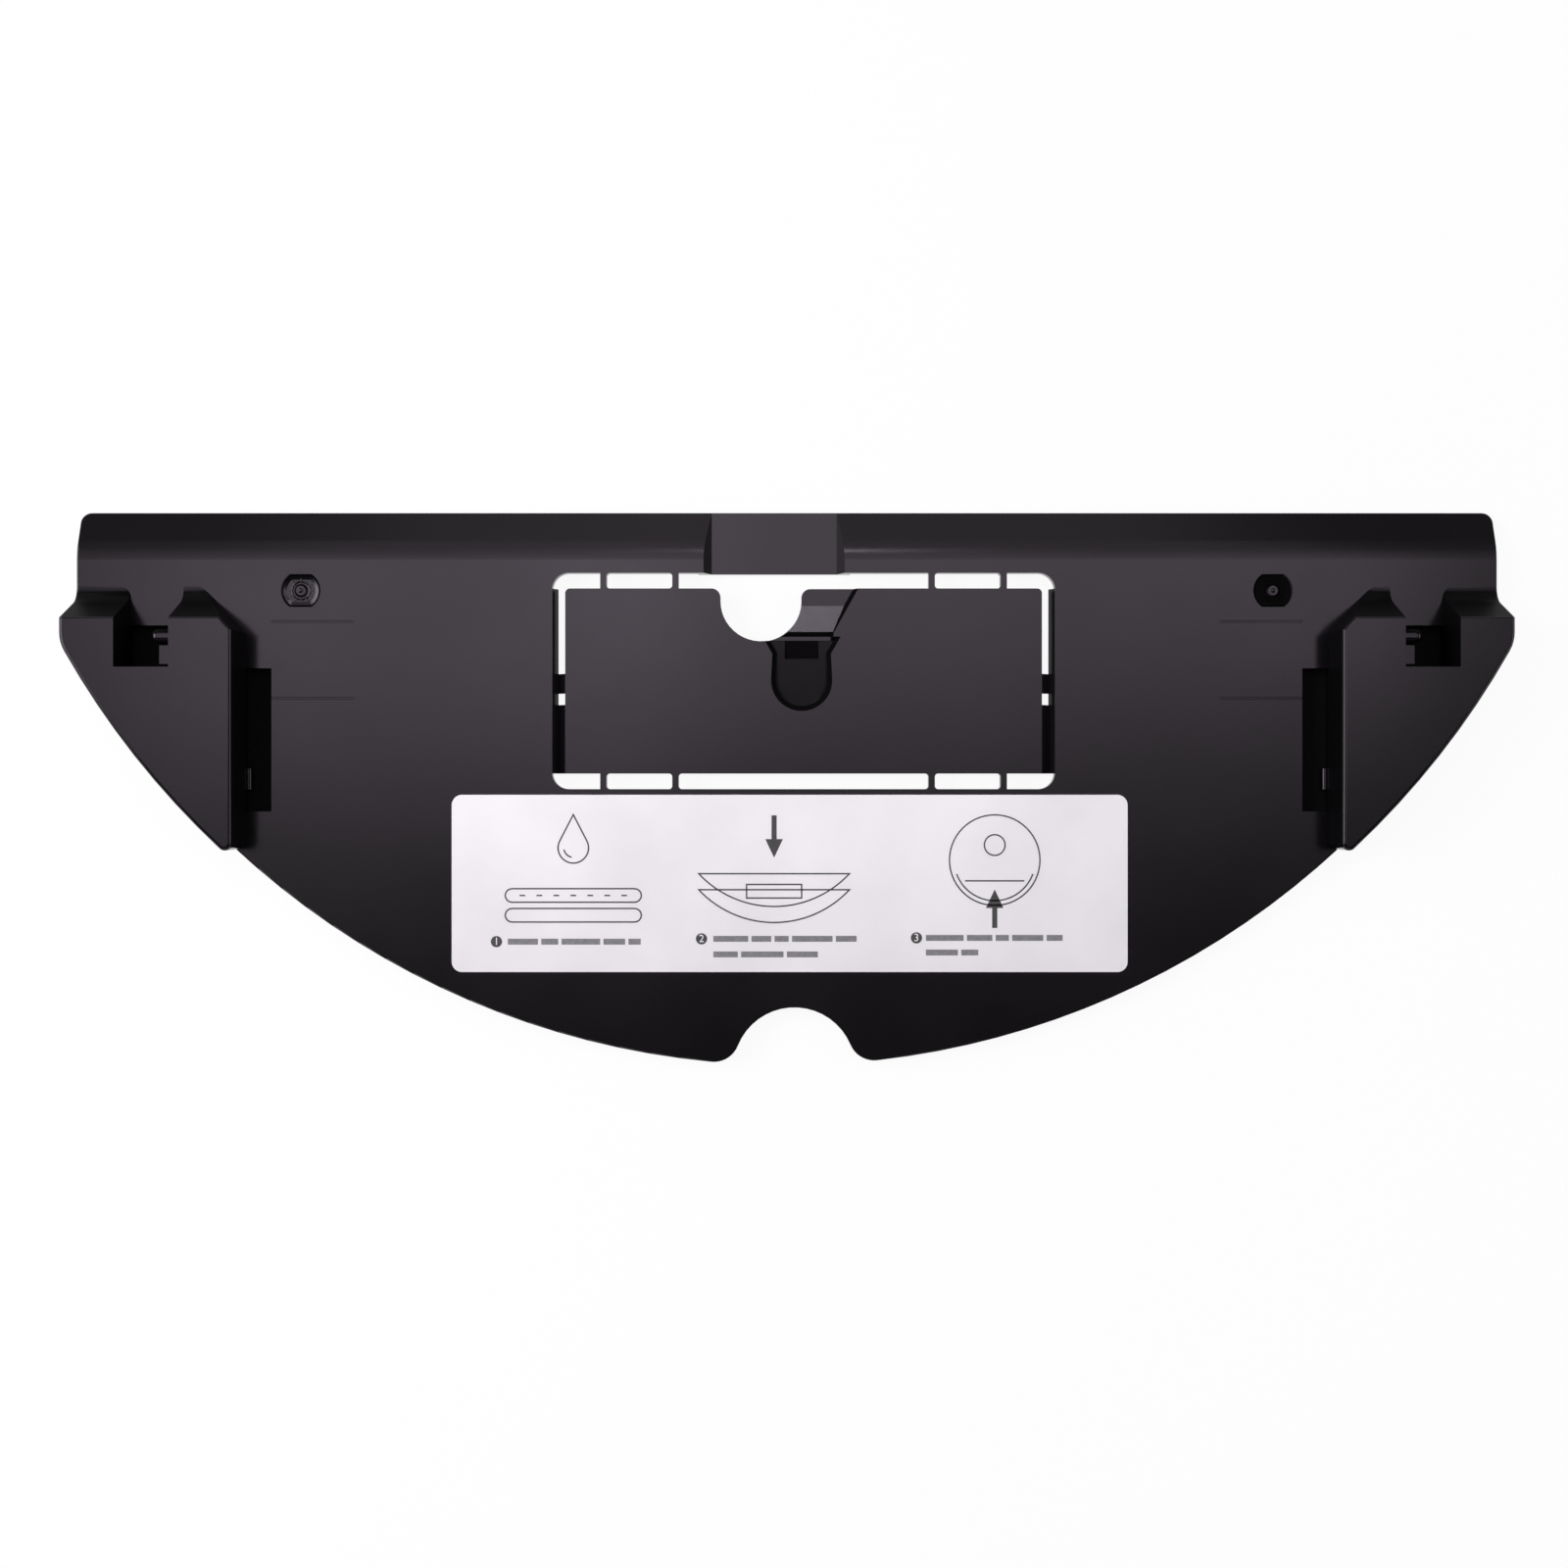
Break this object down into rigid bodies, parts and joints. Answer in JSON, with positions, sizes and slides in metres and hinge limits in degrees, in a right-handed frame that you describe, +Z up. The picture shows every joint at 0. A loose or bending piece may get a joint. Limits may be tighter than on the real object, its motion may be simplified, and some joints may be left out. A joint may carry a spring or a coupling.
{
  "type": "robot vacuum mop bracket",
  "caption": "Flat black crescent bracket that carries a mop cloth under a robot vacuum, with a bridged window panel, raised wing guides with catches and a foil label.",
  "frame": {"origin": "under the middle of the bracket's box, on the rim that it rests on", "axes": "X along the straight edge, Y towards the straight edge, Z up out of the face that meets the robot"},
  "size_m": [0.3016, 0.117, 0.0154],
  "materials": {
    "black_plastic": "satin black moulded plastic with a fine spark grain",
    "label_foil": "pale silver film label with dark grey print",
    "hook_tape": "black nylon hook tape"
  },
  "bodies": {
    "root": {"bracket_body": "black_plastic", "instruction_label": "label_foil", "hook_pad_left": "hook_tape", "hook_pad_right": "hook_tape"}
  },
  "joints": []
}
